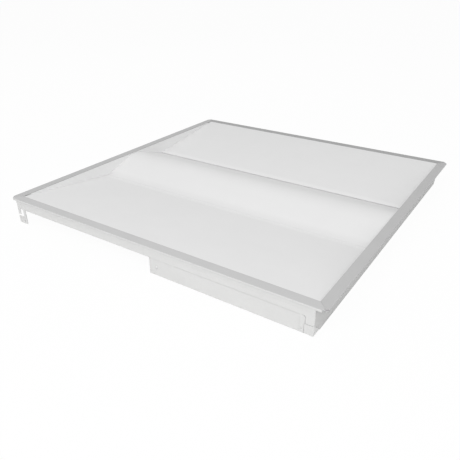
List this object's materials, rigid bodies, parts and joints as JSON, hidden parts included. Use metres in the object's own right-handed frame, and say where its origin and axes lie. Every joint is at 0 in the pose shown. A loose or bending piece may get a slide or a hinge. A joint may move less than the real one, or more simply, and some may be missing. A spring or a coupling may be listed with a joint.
{
  "type": "recessed lay-in ceiling light",
  "caption": "Square lay-in ceiling light with a shallow white pan, two sloping reflector panels, a raised frosted centre diffuser, bend-out grid clips and a hinged driver compartment.",
  "frame": {"origin": "middle of the square footprint, on the plane that the back of the pan lies on", "axes": "+Z out of the light's face, +X along the near edge that holds the driver compartment, +Y from that edge to the opposite one"},
  "size_m": [0.603, 0.603, 0.045],
  "materials": {
    "rim_enamel": "satin",
    "white_enamel": "satin",
    "reflector_white": "matte",
    "frosted_diffuser": "satin",
    "galvanised": "satin",
    "zinc_fastener": "satin",
    "board_solder_mask": "satin",
    "light_chip": "gloss",
    "connector_nylon": "satin",
    "driver_enamel": "satin",
    "black_nylon": "satin",
    "cable_sheath": "matte",
    "lead_brown": "matte",
    "lead_blue": "matte",
    "lead_green": "matte"
  },
  "bodies": {
    "fitting": {"back_pan": "white_enamel", "board_connectors": "connector_nylon", "board_screws": "zinc_fastener", "box_rivet": "zinc_fastener", "cable_clips": "connector_nylon", "carrier_rail_far": "galvanised", "carrier_rail_near": "galvanised", "centre_diffuser": "frosted_diffuser", "corner_keys": "galvanised", "driver": "driver_enamel", "driver_box": "white_enamel", "driver_screws": "zinc_fastener", "entry_bushing": "black_nylon", "far_wall": "white_enamel", "feed_cable": "cable_sheath", "hinge_leaves": "galvanised", "hinge_pins": "zinc_fastener", "left_end_plate": "white_enamel", "light_board_far": "board_solder_mask", "light_board_near": "board_solder_mask", "light_chips_far": "light_chip", "light_chips_near": "light_chip", "link_cable": "cable_sheath", "near_wall": "white_enamel", "rail_screws": "zinc_fastener", "right_end_plate": "white_enamel", "rim_far": "rim_enamel", "rim_left": "rim_enamel", "rim_near": "rim_enamel", "rim_right": "rim_enamel", "side_panel_far": "reflector_white", "side_panel_near": "reflector_white", "step_grommet": "black_nylon", "supply_lead_earth": "lead_green", "supply_lead_line": "lead_brown", "supply_lead_neutral": "lead_blue", "terminal_block": "connector_nylon"},
    "compartment_cover": {"driver_cover": "white_enamel", "cover_screws": "zinc_fastener"},
    "grid_clip_near_left": {"grid_clip_near_left": "white_enamel"},
    "grid_clip_near_right": {"grid_clip_near_right": "white_enamel"},
    "grid_clip_far_left": {"grid_clip_far_left": "white_enamel"},
    "grid_clip_far_right": {"grid_clip_far_right": "white_enamel"}
  },
  "joints": [
    {"name": "cover_hinge", "type": "hinge", "parent": "fitting", "child": "compartment_cover", "pos_m": [0.1525, -0.2304, 0.0018], "axis": [1, 0, 0], "range_deg": [0, 90]},
    {"name": "grid_clip_near_left_bend", "type": "hinge", "parent": "fitting", "child": "grid_clip_near_left", "pos_m": [-0.2725, -0.3003, 0.007], "axis": [0, 0, 1], "range_deg": [0, 90]},
    {"name": "grid_clip_near_right_bend", "type": "hinge", "parent": "fitting", "child": "grid_clip_near_right", "pos_m": [0.2725, -0.3003, 0.007], "axis": [0, 0, -1], "range_deg": [0, 90]},
    {"name": "grid_clip_far_left_bend", "type": "hinge", "parent": "fitting", "child": "grid_clip_far_left", "pos_m": [-0.264, 0.3003, 0.007], "axis": [0, 0, -1], "range_deg": [0, 90]},
    {"name": "grid_clip_far_right_bend", "type": "hinge", "parent": "fitting", "child": "grid_clip_far_right", "pos_m": [0.264, 0.3003, 0.007], "axis": [0, 0, 1], "range_deg": [0, 90]}
  ]
}
